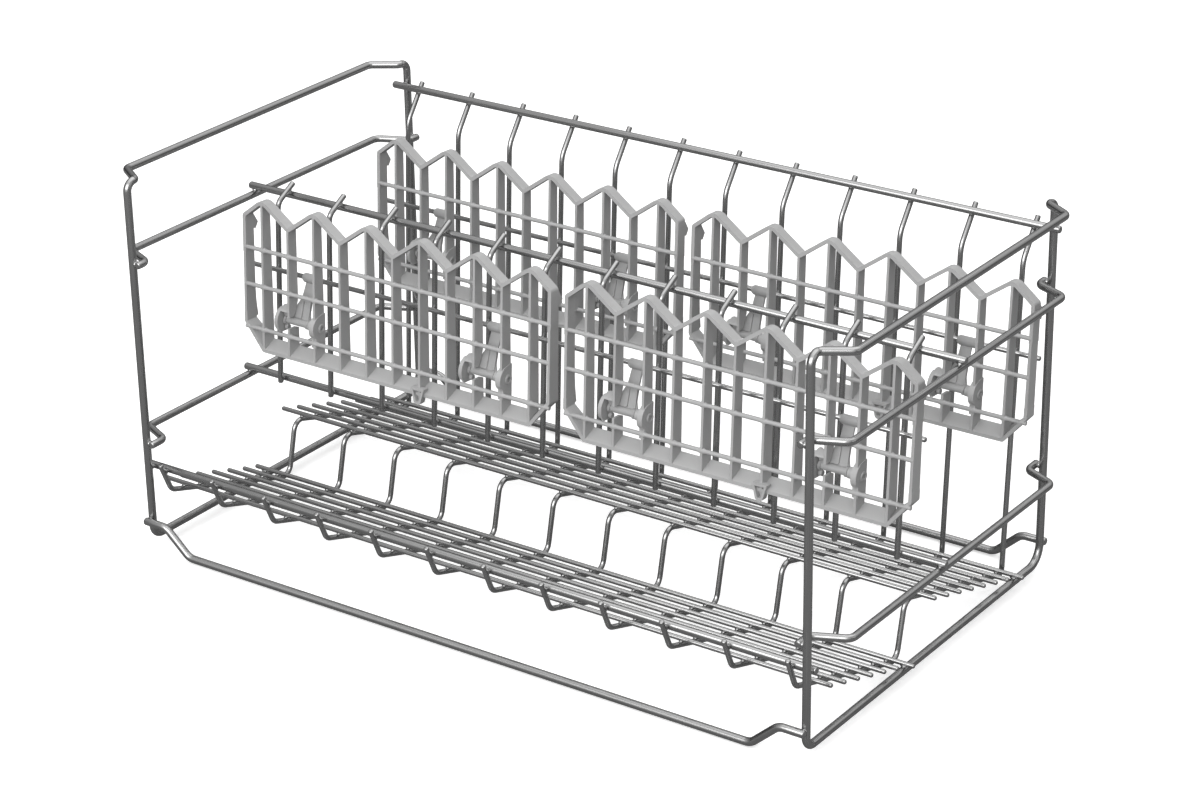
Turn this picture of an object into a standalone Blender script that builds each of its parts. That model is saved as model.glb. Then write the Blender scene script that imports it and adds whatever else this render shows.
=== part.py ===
"""Wire basket insert with four toothed plastic glass holders that hang on swinging hangers.

Frame: +X to the right along the basket, +Y to its back, +Z up. The origin is on the
resting plane, under the middle of the four corner posts. Lengths below are millimetres.
"""

import math

import bmesh
import bpy
from mathutils import Matrix, Vector

MM = 0.001

# Wire diameters
LOOP_WIRE = 4.8
RAIL_WIRE = 4.5
CONTOUR_WIRE = 3.2
TINE_WIRE = 3.4
HINGE_WIRE = 3.0
SHELF_WIRE = 2.8

WELD_GAP = 0.3  # between wires that touch and stay separate pieces
WELD_SINK = 0.4  # how far wires of one weldment sink into each other
BEND_STEPS = 3

# End loops and side rails
POST_X = 231.0
POST_Y = 131.2
HANDLE_X = 247.3
LOOP_BOTTOM_Z = 6.7
HANDLE_Z = 234.0
HANDLE_HALF = 113.5  # half length of the straight grip
HANDLE_JOG_HALF = 124.0
SIDE_X = 246.5
UPPER_SIDE_Z = 184.0
LOWER_SIDE_Z = 68.8
SIDE_HALF = 116.0
SIDE_JOG_HALF = 125.0
LOWER_SIDE_HALF = 112.0
LOWER_SIDE_JOG_HALF = 121.5

# Cross wires
WIRE_COUNT = 12
PITCH = 40.0
TINE_SHIFT = 1.5
BACK_FOOT = (105.3, 5.8)
BACK_BEND = (116.6, 200.0)
BACK_TOP_RAIL_Z = 219.2
STEP_TOP = (-8.6, 39.9)
STEP_FOOT = (-17.2, 4.0)
FRONT_CORNER = (-124.6, 38.1)
RIM_Z = 52.6
CURL_TIP_Z = 57.4

# Tines and the rails of the centre row
TINE_FOOT = (-21.75, 70.5)
TINE_BEND = (-14.55, 188.0)
TINE_TIP_Y = 0.6
CENTRE_TOP_RAIL_Y = -2.65
HINGE_RAIL_Z = 145.9

# Rail half lengths
TOP_RAIL_HALF = 238.0
HINGE_RAIL_HALF = 237.0
CENTRE_RAIL_HALF = 250.5
RIM_HALF = 234.5
SHELF_HALF = 236.0
LOWEST_SHELF_HALF = 238.0

# Shelf wires: place of the first along Y, step, and how many
FRONT_SHELF = (-114.0, 14.18, 7)
REAR_SHELF = (-2.8, 14.42, 8)

# Foot rails
FOOT_TIP_X = 233.0
FOOT_JOG_OUTER_X = 216.5
FOOT_JOG_INNER_X = 199.0
FOOT_STUB_Z = 18.0

# Holders, given from the middle of the holder and from the resting plane
HOLDER_HALF = 114.7
HOLDER_SPACING = 119.7
HOLDER_SHIFT = 4.0
HOLDER_DEPTH_LOW = 9.4  # the ribs get shallower from the sill to the peaks
HOLDER_DEPTH_HIGH = 7.0
HOLDER_FRONT = 5.3  # from the pin's axis to the front face
HOLDER_LEAN = 3.4  # degrees that the top leans back
SILL_RISE = 4.6  # the sill slopes down to the front by this much
RIB = 1.6
BAND = 2.2
BAR = 2.2
PEAK_Z = 194.8
VALLEY_Z = 181.0
SHOULDER_Z = 184.6
CHAMFER_Z = 114.3
SILL_Z = 97.3
SILL_TOP_Z = 99.3
RIB_SPACING = 20.0
BAR_HEIGHTS = (162.9, 139.3, 111.7)
STRADDLED_RIBS = (-80.0, 60.0)

# Hangers: from the hinge rail's axis to the pin's axis, and along X from the straddled rib
LINK_Y = -11.55
LINK_Z = -25.2
SLEEVE_X = (0.5, 14.0)
NECK_X = (1.5, 9.5)
BARREL_X = (-6.1, 12.4)
PIN_REACH = 1.7
SLEEVE_RADIUS = 3.0
BORE_RADIUS = HINGE_WIRE / 2 + 0.3
BARREL_RADIUS = 2.5
PIN_RADIUS = 1.2
EAR_HOLE_RADIUS = 1.5
WEB = 1.6
EAR_X = (-8.2, -6.4)
BOSS_X = 12.7
EAR_TOP_Z = 9.6
EAR_BOTTOM_Z = -7.0
RIB_GAP_Z = (-3.4, 3.4)  # around the barrel, and behind it the room in which the web swings
RIB_GAP_BACK_Z = (-5.6, 14.6)
BRIDGE_Z = (7.6, 9.2)

STEEL = ("stainless_wire", (0.56, 0.56, 0.57), 0.28, 1.0)
HOLDER_PLASTIC = ("holder_plastic", (0.62, 0.63, 0.63), 0.50, 0.0)
HANGER_PLASTIC = ("hanger_plastic", (0.60, 0.61, 0.61), 0.48, 0.0)


# ---------------------------------------------------------------- scene and materials


def clear_scene():
    for obj in list(bpy.data.objects):
        bpy.data.objects.remove(obj, do_unlink=True)
    for name in ("glass_basket", "cutters"):
        collection = bpy.data.collections.new(name)
        bpy.context.scene.collection.children.link(collection)
    bpy.data.collections["cutters"].hide_render = True


def material(spec):
    name, colour, roughness, metallic = spec
    found = bpy.data.materials.get(name)
    if found:
        return found
    made = bpy.data.materials.new(name)
    made.use_nodes = True
    shader = made.node_tree.nodes["Principled BSDF"]
    shader.inputs["Base Color"].default_value = (*colour, 1.0)
    shader.inputs["Roughness"].default_value = roughness
    shader.inputs["Metallic"].default_value = metallic
    return made


def add_object(name, data, spec=STEEL, helper=False):
    obj = bpy.data.objects.new(name, data)
    group = "cutters" if helper else "glass_basket"
    bpy.data.collections[group].objects.link(obj)
    if helper:
        obj.hide_render = True
        obj.display_type = "WIRE"
    else:
        data.materials.clear()
        data.materials.append(material(spec))
    return obj


# ---------------------------------------------------------------- wires


def bent(corners, radius, steps=BEND_STEPS):
    """The points of a path whose inner corners are rounded; radius is one value or one for each corner."""
    corners = [Vector(corner) for corner in corners]
    radii = [radius] * len(corners) if isinstance(radius, (int, float)) else radius
    points = [corners[0]]
    for index in range(1, len(corners) - 1):
        here = corners[index]
        back = (corners[index - 1] - here).normalized()
        ahead = (corners[index + 1] - here).normalized()
        turn = math.pi - back.angle(ahead)
        reach = radii[index] * math.tan(turn / 2)
        inward = (back + ahead).normalized()
        centre = here + inward * (radii[index] / math.cos(turn / 2))
        start = here + back * reach - centre
        axis = start.cross(here + ahead * reach - centre).normalized()
        for step in range(steps + 1):
            spun = Matrix.Rotation(turn * step / steps, 3, axis) @ start
            points.append(centre + spun)
    points.append(corners[-1])
    return points


def across(x, profile):
    """A profile of (y, z) pairs as points in the plane at x."""
    return [(x, y, z) for y, z in profile]


def wire(name, points, diameter, closed=False, tilt=0.0, helper=False):
    curve = bpy.data.curves.new(name, "CURVE")
    curve.dimensions = "3D"
    curve.bevel_depth = diameter / 2 * MM
    curve.bevel_resolution = 2
    curve.use_fill_caps = True
    spline = curve.splines.new("POLY")
    spline.points.add(len(points) - 1)
    for spot, point in zip(spline.points, points):
        spot.co = (*(Vector(point) * MM), 1.0)
        spot.tilt = tilt
    spline.use_cyclic_u = closed
    return add_object(name, curve, helper=helper)


def to_mesh(obj):
    """Turns a curve object into a closed mesh object of the same name and place."""
    bpy.context.view_layer.update()
    graph = bpy.context.evaluated_depsgraph_get()
    mesh = bpy.data.meshes.new_from_object(obj.evaluated_get(graph))
    name, place, helper = obj.name, obj.matrix_world.copy(), obj.hide_render
    old = obj.data
    bpy.data.objects.remove(obj, do_unlink=True)
    bpy.data.curves.remove(old)
    shape = bmesh.new()
    shape.from_mesh(mesh)
    bmesh.ops.remove_doubles(shape, verts=shape.verts, dist=0.00001)
    bmesh.ops.recalc_face_normals(shape, faces=shape.faces)
    shape.to_mesh(mesh)
    shape.free()
    made = add_object(name, mesh, helper=helper)
    made.matrix_world = place
    return made


def combine(target, others, operation="UNION"):
    for other in others:
        modifier = target.modifiers.new(other.name, "BOOLEAN")
        modifier.operation = operation
        modifier.object = other
        modifier.solver = "EXACT"


def freeze(obj):
    """Applies the Booleans, and returns the mesh alone, for objects that share it."""
    bpy.context.view_layer.update()
    graph = bpy.context.evaluated_depsgraph_get()
    mesh = bpy.data.meshes.new_from_object(obj.evaluated_get(graph))
    used = [modifier.object for modifier in obj.modifiers]
    for piece in [obj, *used]:
        bpy.data.objects.remove(piece, do_unlink=True)
    mesh.shade_smooth()
    mesh.set_sharp_from_angle(angle=math.radians(35))
    return mesh


def wire_places(shift=0.0):
    middle = (WIRE_COUNT - 1) / 2
    return [(index - middle) * PITCH + shift for index in range(WIRE_COUNT)]


def between(low, high, z):
    """y at height z on the line through two (y, z) points."""
    return low[0] + (high[0] - low[0]) * (z - low[1]) / (high[1] - low[1])


# ---------------------------------------------------------------- frame


def end_loop(name, side):
    corners = [
        (side * POST_X, -POST_Y, LOOP_BOTTOM_Z),
        (side * POST_X, -POST_Y, HANDLE_Z),
        (side * POST_X, -HANDLE_JOG_HALF, HANDLE_Z),
        (side * HANDLE_X, -HANDLE_HALF, HANDLE_Z),
        (side * HANDLE_X, HANDLE_HALF, HANDLE_Z),
        (side * POST_X, HANDLE_JOG_HALF, HANDLE_Z),
        (side * POST_X, POST_Y, HANDLE_Z),
        (side * POST_X, POST_Y, LOOP_BOTTOM_Z),
    ]
    middle = (side * POST_X, 0.0, LOOP_BOTTOM_Z)
    radii = [0, 7, 6, 3.5, 5, 5, 3.5, 6, 12, 0]
    points = bent([middle, *corners, middle], radii)[:-1]
    return wire(name, points, LOOP_WIRE, closed=True, helper=True)


def foot_rail(name, side):
    y = side * (POST_Y + LOOP_WIRE - WELD_SINK)
    low = LOOP_WIRE / 2
    profile = [
        (-FOOT_TIP_X, FOOT_STUB_Z),
        (-FOOT_JOG_OUTER_X, FOOT_STUB_Z),
        (-FOOT_JOG_INNER_X, low),
        (FOOT_JOG_INNER_X, low),
        (FOOT_JOG_OUTER_X, FOOT_STUB_Z),
        (FOOT_TIP_X, FOOT_STUB_Z),
    ]
    points = bent([(x, y, z) for x, z in profile], 9, steps=2)
    return wire(name, points, LOOP_WIRE, tilt=math.pi / 8, helper=True)


def base_frame():
    loops = [to_mesh(end_loop(f"loop_{word}", side)) for word, side in (("left", -1), ("right", 1))]
    feet = [to_mesh(foot_rail(f"foot_{word}", side)) for word, side in (("front", -1), ("rear", 1))]
    made = add_object("base_frame", loops[0].data.copy())
    bpy.data.objects.remove(loops[0], do_unlink=True)
    combine(made, [*feet, loops[1]])


def side_rail(name, side, z, half, jog_half, helper=False):
    inner = side * (POST_X - LOOP_WIRE / 2 - RAIL_WIRE / 2 - WELD_GAP)
    outer = side * SIDE_X
    tip = POST_Y + 2.0
    corners = [
        (inner, -tip, z),
        (inner, -jog_half, z),
        (outer, -half, z),
        (outer, half, z),
        (inner, jog_half, z),
        (inner, tip, z),
    ]
    return wire(name, bent(corners, 6, steps=2), RAIL_WIRE, helper=helper)


def cross_rail(name, y, z, half, diameter=RAIL_WIRE, helper=False):
    return wire(name, [(-half, y, z), (half, y, z)], diameter, helper=helper)


def lower_cross_frame():
    spans = (LOWER_SIDE_HALF, LOWER_SIDE_JOG_HALF)
    left, right = (
        to_mesh(side_rail(f"lower_{word}", side, LOWER_SIDE_Z, *spans, helper=True))
        for word, side in (("left", -1), ("right", 1))
    )
    y = TINE_FOOT[0] + TINE_WIRE / 2 + RAIL_WIRE / 2 + WELD_GAP
    z = LOWER_SIDE_Z + RAIL_WIRE - WELD_SINK
    rail = to_mesh(cross_rail("lower_middle", y, z, CENTRE_RAIL_HALF, helper=True))
    made = add_object("lower_cross_frame", rail.data.copy())
    bpy.data.objects.remove(rail, do_unlink=True)
    combine(made, [left, right])


def rails():
    side_rail("upper_side_rail_left", -1, UPPER_SIDE_Z, SIDE_HALF, SIDE_JOG_HALF)
    side_rail("upper_side_rail_right", 1, UPPER_SIDE_Z, SIDE_HALF, SIDE_JOG_HALF)
    behind_posts = POST_Y - LOOP_WIRE / 2 - RAIL_WIRE / 2 - WELD_GAP
    cross_rail("back_top_rail", behind_posts, BACK_TOP_RAIL_Z, TOP_RAIL_HALF)
    cross_rail("front_rim_rail", -behind_posts, RIM_Z, RIM_HALF)
    cross_rail("centre_top_rail", CENTRE_TOP_RAIL_Y, centre_top_rail_z(), CENTRE_RAIL_HALF)
    cross_rail("centre_hinge_rail", centre_hinge_y(), HINGE_RAIL_Z, HINGE_RAIL_HALF, HINGE_WIRE)
    cross_rail("back_hinge_rail", back_hinge_y(), HINGE_RAIL_Z, HINGE_RAIL_HALF, HINGE_WIRE)


def centre_top_rail_z():
    return UPPER_SIDE_Z + RAIL_WIRE + WELD_GAP


def centre_hinge_y():
    tine = between(TINE_FOOT, TINE_BEND, HINGE_RAIL_Z)
    return tine - TINE_WIRE / 2 - HINGE_WIRE / 2 - WELD_GAP


def back_hinge_y():
    wall = between(BACK_FOOT, BACK_BEND, HINGE_RAIL_Z)
    return wall - CONTOUR_WIRE / 2 - HINGE_WIRE / 2 - WELD_GAP


def contour_profile():
    """The (y, z) corners of a cross wire, from its tip behind the top rail to its curled front end."""
    apart = RAIL_WIRE / 2 + CONTOUR_WIRE / 2 + WELD_GAP
    rail_y = POST_Y - LOOP_WIRE / 2 - RAIL_WIRE / 2 - WELD_GAP
    behind = (rail_y + apart * 1.13, BACK_TOP_RAIL_Z)
    lean = (behind[0] - BACK_BEND[0]) / (behind[1] - BACK_BEND[1])
    tip = (behind[0] + 2.9 * lean, behind[1] + 2.9)
    at_rim = (-rail_y - apart * 1.08, RIM_Z)
    lean_front = (at_rim[0] - FRONT_CORNER[0]) / (at_rim[1] - FRONT_CORNER[1])
    curl_tip = (at_rim[0] + (CURL_TIP_Z - RIM_Z) * lean_front, CURL_TIP_Z)
    return [
        tip,
        BACK_BEND,
        BACK_FOOT,
        STEP_TOP,
        STEP_FOOT,
        FRONT_CORNER,
        curl_tip,
    ]


def contour_wires():
    radii = [0, 16, 3.5, 7, 7, 7, 0]
    for index, x in enumerate(wire_places()):
        points = bent(across(x, contour_profile()), radii, steps=2)
        wire(f"contour_wire_{index + 1:02d}", points, CONTOUR_WIRE)


def tine_profile():
    """A tine stands in front of the bottom rail, and its bent end lies over the top rail."""
    slope = math.radians(29)
    apart = (RAIL_WIRE + TINE_WIRE) / 2 + WELD_GAP
    over_y = CENTRE_TOP_RAIL_Y - apart * math.sin(slope)
    over_z = centre_top_rail_z() + apart * math.cos(slope)
    bend_y = TINE_BEND[0]
    bend_z = over_z - (over_y - bend_y) * math.tan(slope)
    tip_z = over_z + (TINE_TIP_Y - over_y) * math.tan(slope)
    return [TINE_FOOT, (bend_y, bend_z), (TINE_TIP_Y, tip_z)]


def tines():
    for index, x in enumerate(wire_places(TINE_SHIFT)):
        points = bent(across(x, tine_profile()), 7, steps=2)
        wire(f"centre_tine_{index + 1:02d}", points, TINE_WIRE)


def shelf_wires(word, layout, low, high):
    """Straight wires on top of the cross wires, on the slope from low to high, both (y, z).

    The last one is the lowest, and reaches over the bottom rails of the end loops.
    """
    first, step, count = layout
    lift = CONTOUR_WIRE / 2 + SHELF_WIRE / 2 + WELD_GAP
    angle = math.atan2(high[1] - low[1], high[0] - low[0])
    away = Vector((-math.sin(angle), math.cos(angle)))
    if away.y < 0:
        away = -away
    for index in range(count):
        y = first + step * index
        z = low[1] + (y - low[0]) * math.tan(angle)
        half = LOWEST_SHELF_HALF if index == count - 1 else SHELF_HALF
        name = f"{word}_shelf_wire_{index + 1}"
        cross_rail(name, y + away.x * lift, z + away.y * lift, half, SHELF_WIRE)


# ---------------------------------------------------------------- holders


def flat_shape(name, splines, depth):
    """An outline with holes in the XZ plane, depth deep along Y, its front face at y = 0."""
    curve = bpy.data.curves.new(name, "CURVE")
    curve.dimensions = "2D"
    curve.fill_mode = "BOTH"
    curve.extrude = depth / 2 * MM
    for outline in splines:
        spline = curve.splines.new("POLY")
        spline.points.add(len(outline) - 1)
        for spot, (x, z) in zip(spline.points, outline):
            spot.co = (x * MM, z * MM, 0.0, 1.0)
        spline.use_cyclic_u = True
    obj = add_object(name, curve, helper=True)
    obj.rotation_euler = (math.radians(90), 0.0, 0.0)
    obj.location = (0.0, depth / 2 * MM, 0.0)
    return to_mesh(obj)


def box(name, low, high):
    shape = bmesh.new()
    bmesh.ops.create_cube(shape, size=1.0)
    size = [(b - a) * MM for a, b in zip(low, high)]
    middle = [(a + b) / 2 * MM for a, b in zip(low, high)]
    bmesh.ops.scale(shape, verts=shape.verts, vec=size)
    bmesh.ops.translate(shape, verts=shape.verts, vec=middle)
    mesh = bpy.data.meshes.new(name)
    shape.to_mesh(mesh)
    shape.free()
    return add_object(name, mesh, helper=True)


def rod(name, x_from, x_to, y, z, radius, sides=16):
    """A cylinder along X."""
    shape = bmesh.new()
    bmesh.ops.create_cone(
        shape,
        cap_ends=True,
        segments=sides,
        radius1=radius * MM,
        radius2=radius * MM,
        depth=(x_to - x_from) * MM,
        matrix=Matrix.Rotation(math.radians(90), 4, "Y"),
    )
    middle = ((x_from + x_to) / 2 * MM, y * MM, z * MM)
    bmesh.ops.translate(shape, verts=shape.verts, vec=middle)
    mesh = bpy.data.meshes.new(name)
    shape.to_mesh(mesh)
    shape.free()
    return add_object(name, mesh, helper=True)


def rib_places():
    inner = [RIB_SPACING * step for step in range(-5, 6)]
    return [-HOLDER_HALF + RIB / 2, *inner, HOLDER_HALF - RIB / 2]


def top_edge(x):
    """Height of the toothed upper edge at x from the holder's middle."""
    outer_peak = 5 * RIB_SPACING
    if abs(x) >= outer_peak:
        share = (abs(x) - outer_peak) / (HOLDER_HALF - outer_peak)
        return PEAK_Z + (SHOULDER_Z - PEAK_Z) * share
    place = (abs(x) / RIB_SPACING) % 2
    share = place if place <= 1 else 2 - place
    return VALLEY_Z + (PEAK_Z - VALLEY_Z) * share


def bottom_edge(x):
    """Height of the lower edge: a flat sill with a chamfered corner at each end."""
    start = 5 * RIB_SPACING
    if abs(x) <= start:
        return SILL_Z
    return SILL_Z + (CHAMFER_Z - SILL_Z) * (abs(x) - start) / (HOLDER_HALF - start)


def holder_outline():
    upper = [-HOLDER_HALF, *(RIB_SPACING * step for step in range(-5, 6)), HOLDER_HALF]
    lower = [HOLDER_HALF, 5 * RIB_SPACING, -5 * RIB_SPACING, -HOLDER_HALF]
    return [(x, top_edge(x)) for x in upper] + [(x, bottom_edge(x)) for x in lower]


def holder_cells():
    """The openings between neighbouring ribs."""
    places = rib_places()
    sill = SILL_TOP_Z - SILL_Z
    cells = []
    for left, right in zip(places, places[1:]):
        a, b = left + RIB / 2, right - RIB / 2
        end = max(abs(left), abs(right)) > 5 * RIB_SPACING + 1
        under = BAND * (1.15 if end else 1.25)
        floor = sill * (1.55 if end else 1.0)
        cells.append(
            [
                (a, bottom_edge(a) + floor),
                (b, bottom_edge(b) + floor),
                (b, top_edge(b) - under),
                (a, top_edge(a) - under),
            ]
        )
    return cells


def pin_z():
    return HINGE_RAIL_Z + LINK_Z


def holder_mesh():
    """A holder about its pin axis: x from its middle, y from the pin axis, z from the pin axis."""
    level = pin_z()
    front = -HOLDER_FRONT
    outlines = [holder_outline(), *holder_cells()]
    lowered = [[(x, z - level) for x, z in outline] for outline in outlines]
    body = flat_shape("holder_body", lowered, HOLDER_DEPTH_LOW)
    body.data.transform(Matrix.Translation((0, front * MM, 0)) @ body.matrix_world)
    body.matrix_world = Matrix.Identity(4)
    taper_back(body, front, SILL_Z - level, PEAK_Z - level)
    raise_sill(body, front, level)
    joins, cuts = [], []
    for index, height in enumerate(BAR_HEIGHTS):
        z = height - level
        low = (-HOLDER_HALF + 0.2, front + 0.2, z - BAR / 2)
        high = (HOLDER_HALF - 0.2, front + 0.2 + BAR, z + BAR / 2)
        joins.append(box(f"bar_{index}", low, high))
    back = front + HOLDER_DEPTH_HIGH + 2.0
    for index, rib in enumerate(STRADDLED_RIBS):
        room = [
            (front - 1, RIB_GAP_Z[0]),
            (1.0, RIB_GAP_Z[0]),
            (back + 3, RIB_GAP_BACK_Z[0]),
            (back + 3, RIB_GAP_BACK_Z[1]),
            (3.9, RIB_GAP_BACK_Z[1]),
            (-0.4, RIB_GAP_Z[1]),
            (front - 1, RIB_GAP_Z[1]),
        ]
        cuts.append(side_plate(f"rib_gap_{index}", room, rib - 1.5, rib + 1.5))
    for index, rib in enumerate(STRADDLED_RIBS):
        joins.extend(ears(index, rib, front, back))
        low, high = rib + EAR_X[0] - 1, rib + BOSS_X + 3.0
        cuts.append(rod(f"pin_hole_{index}", low, high, 0, 0, EAR_HOLE_RADIUS, 12))
    combine(body, cuts[:2], "DIFFERENCE")
    combine(body, joins)
    combine(body, cuts[2:], "DIFFERENCE")
    mesh = freeze(body)
    mesh.transform(Matrix.Rotation(math.radians(-HOLDER_LEAN), 4, "X"))
    return mesh


def taper_back(body, front, low, high):
    """Draws the back face in towards the top, to the depth that the holder has there."""
    fall = (HOLDER_DEPTH_LOW - HOLDER_DEPTH_HIGH) / (high - low)
    for vertex in body.data.vertices:
        if vertex.co.y > (front + 1) * MM:
            vertex.co.y -= fall * (vertex.co.z - low * MM)


def raise_sill(body, front, level):
    """Lifts the back edge of the sill, so that it drains to the front."""
    for vertex in body.data.vertices:
        over = vertex.co.z / MM + level - bottom_edge(vertex.co.x / MM)
        if vertex.co.y > (front + 1) * MM and over < 4.5:
            vertex.co.z += SILL_RISE * MM


def ears(index, rib, front, back):
    """The plate and the boss that hold one hanger's pin, and the bridge from the plate to the rib."""
    plate = [
        (front + 0.3, EAR_BOTTOM_Z + 3.5),
        (front + 0.3, EAR_TOP_Z - 4.5),
        (front + 2.0, EAR_TOP_Z - 1.2),
        (front + 4.5, EAR_TOP_Z),
        (back - 0.6, EAR_TOP_Z),
        (back - 0.6, EAR_BOTTOM_Z),
        (front + 2.5, EAR_BOTTOM_Z),
    ]
    pieces = [
        side_plate(f"ear_{index}", plate, rib + EAR_X[0], rib + EAR_X[1]),
        side_plate(f"boss_{index}", plate, rib + BOSS_X, rib + RIB_SPACING),
    ]
    low, high = (rib + EAR_X[0] + 0.3, -2.8, BRIDGE_Z[0]), (rib + 0.6, 1.0, BRIDGE_Z[1])
    return [*pieces, box(f"bridge_{index}", low, high)]


def side_plate(name, outline, x_from, x_to):
    """A (y, z) outline as a plate from x_from to x_to."""
    plate = flat_shape(name, [outline], x_to - x_from)
    turned = Matrix.Rotation(math.radians(90), 4, "Z")
    plate.data.transform(turned @ plate.matrix_world)
    plate.matrix_world = Matrix.Translation((x_to * MM, 0, 0))
    return plate


# ---------------------------------------------------------------- hangers


def hanger_mesh():
    """A hanger about its sleeve axis: x from the straddled rib, y and z from the hinge rail's axis."""
    sleeve = rod("sleeve", *SLEEVE_X, 0, 0, SLEEVE_RADIUS)
    length = math.hypot(LINK_Y, LINK_Z)
    tilt = math.atan2(LINK_Y, -LINK_Z)
    web_outline = [
        (NECK_X[0], -SLEEVE_RADIUS + 1.0),
        (NECK_X[1], -SLEEVE_RADIUS + 1.0),
        (NECK_X[1] + 0.6, -13.0),
        (BARREL_X[1] - 0.4, -length + 1.5),
        (BARREL_X[1] - 0.4, -length),
        (BARREL_X[0] + 0.4, -length),
        (BARREL_X[0] + 0.4, -length + 3.5),
        (NECK_X[0], -13.0),
    ]
    web = flat_shape("web", [web_outline], WEB)
    lean = Matrix.Rotation(tilt, 4, "X")
    web.data.transform(lean @ Matrix.Translation((0, -WEB / 2 * MM, 0)) @ web.matrix_world)
    web.matrix_world = Matrix.Identity(4)
    barrel = rod("barrel", *BARREL_X, LINK_Y, LINK_Z, BARREL_RADIUS, 12)
    low, high = BARREL_X[0] - PIN_REACH, BARREL_X[1] + PIN_REACH
    pin = rod("pin", low, high, LINK_Y, LINK_Z, PIN_RADIUS, 10)
    bore = rod("bore", SLEEVE_X[0] - 1, SLEEVE_X[1] + 1, 0, 0, BORE_RADIUS)
    mouth = box("mouth", (SLEEVE_X[0] - 1, 0.0, 0.2), (SLEEVE_X[1] + 1, 5.0, 5.0))
    combine(sleeve, [web, barrel, pin])
    combine(sleeve, [bore, mouth], "DIFFERENCE")
    return freeze(sleeve)


def moving_pieces():
    holder = holder_mesh()
    hanger = hanger_mesh()
    rows = (("front", centre_hinge_y()), ("back", back_hinge_y()))
    for row, rail_y in rows:
        for word, side in (("left", -1), ("right", 1)):
            middle = side * HOLDER_SPACING + HOLDER_SHIFT
            place_holder(f"{row}_{word}", middle, rail_y, holder, hanger)


def place_holder(label, middle, rail_y, holder, hanger):
    for word, rib in zip(("a", "b"), STRADDLED_RIBS):
        arm = add_object(f"hanger_{label}_{word}", hanger, HANGER_PLASTIC)
        arm.location = Vector((middle + rib, rail_y, HINGE_RAIL_Z)) * MM
    plate = add_object(f"holder_{label}", holder, HOLDER_PLASTIC)
    plate.location = Vector((middle, rail_y + LINK_Y, pin_z())) * MM


def build():
    clear_scene()
    base_frame()
    lower_cross_frame()
    rails()
    contour_wires()
    tines()
    profile = contour_profile()
    shelf_wires("front", FRONT_SHELF, profile[4], profile[5])
    shelf_wires("rear", REAR_SHELF, profile[2], profile[3])
    moving_pieces()


build()
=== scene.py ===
"""Looks for the wire glass basket: welded steel wires, four toothed holders, eight hangers.

Lengths are millimetres in the CAD frame, with +X right, +Y back, +Z up and the floor at Z = 0. Only the
stage, with its lights and camera, is in metres.
"""

import math

import bmesh
import bpy
from mathutils import Matrix, Vector
from mathutils.geometry import intersect_line_line, tessellate_polygon

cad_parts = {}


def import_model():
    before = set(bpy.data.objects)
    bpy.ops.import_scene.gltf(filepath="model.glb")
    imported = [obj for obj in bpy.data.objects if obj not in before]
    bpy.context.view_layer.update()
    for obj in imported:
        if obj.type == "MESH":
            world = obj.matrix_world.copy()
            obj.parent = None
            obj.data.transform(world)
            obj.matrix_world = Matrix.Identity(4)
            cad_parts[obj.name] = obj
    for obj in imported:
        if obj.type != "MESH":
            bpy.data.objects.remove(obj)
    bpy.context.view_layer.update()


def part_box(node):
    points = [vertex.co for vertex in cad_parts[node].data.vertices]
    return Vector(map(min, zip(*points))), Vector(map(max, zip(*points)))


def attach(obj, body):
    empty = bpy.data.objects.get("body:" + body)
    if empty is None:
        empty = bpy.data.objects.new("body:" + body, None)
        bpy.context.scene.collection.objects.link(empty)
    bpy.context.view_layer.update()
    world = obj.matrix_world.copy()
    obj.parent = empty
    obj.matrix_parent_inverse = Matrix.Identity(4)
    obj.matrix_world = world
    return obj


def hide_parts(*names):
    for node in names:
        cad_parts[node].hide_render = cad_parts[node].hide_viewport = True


MM = 0.001

# Wire diameters, as in the CAD
LOOP_WIRE = 4.8
RAIL_WIRE = 4.5
CONTOUR_WIRE = 3.2
TINE_WIRE = 3.4
HINGE_WIRE = 3.0
SHELF_WIRE = 2.8
GAP = 0.3  # between wires that only touch
SINK = 0.4  # how deep the wires of one weldment sink into each other

# Surfaces and welds of wires
WIRE_SIDES = 20
BEND_STEPS = 8
CUT_RIM = 0.45  # rounding of a cut end, as a share of the wire's radius
SHELF_CUT_RIM = 0.8
GRAIN_STEP = 911.7  # gives each wire its own part of the grain
SHORTEST_SPAN = 3.0  # a shorter stretch belongs to a bend
NEARLY_PARALLEL = 0.9  # beyond this cosine two wires run side by side and don't cross
WELD_GAPS = (-1.0, 0.7)  # crossing wires with a gap in this range get a bead
BEAD_LENGTH = 0.92  # a bead's half length and width, as a share of the wires' radii
BEAD_HEIGHT = 0.62
SMOOTH_ANGLE = math.radians(50)

# End loops
POST_X = 231.0
POST_Y = 131.2
HANDLE_X = 247.3
LOOP_BOTTOM_Z = 6.7
HANDLE_Z = 234.0
HANDLE_HALF = 113.5
HANDLE_JOG_HALF = 124.0
LOOP_BENDS = [0, 7, 6, 3.5, 5, 5, 3.5, 6, 12, 0]  # from the middle of the bottom round by the front

# Rails
SIDE_X = 246.5
SIDE_OVERHANG = 2.0
SIDE_BEND = 6
UPPER_SIDE_HALVES = (116.0, 125.0)  # half lengths of the outer stretch, without and with its jogs
LOWER_SIDE_HALVES = (112.0, 121.5)
LOWER_RAIL_Z = 68.8
BOTTOM_RAIL_HALF = 250.5
RAIL_Y = POST_Y - LOOP_WIRE / 2 - RAIL_WIRE / 2 - GAP
FOOT_TIP_X = 233.0
FOOT_JOG_OUTER_X = 216.5
FOOT_JOG_INNER_X = 199.0
FOOT_STUB_Z = 18.0
FOOT_BEND = 9

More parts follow.
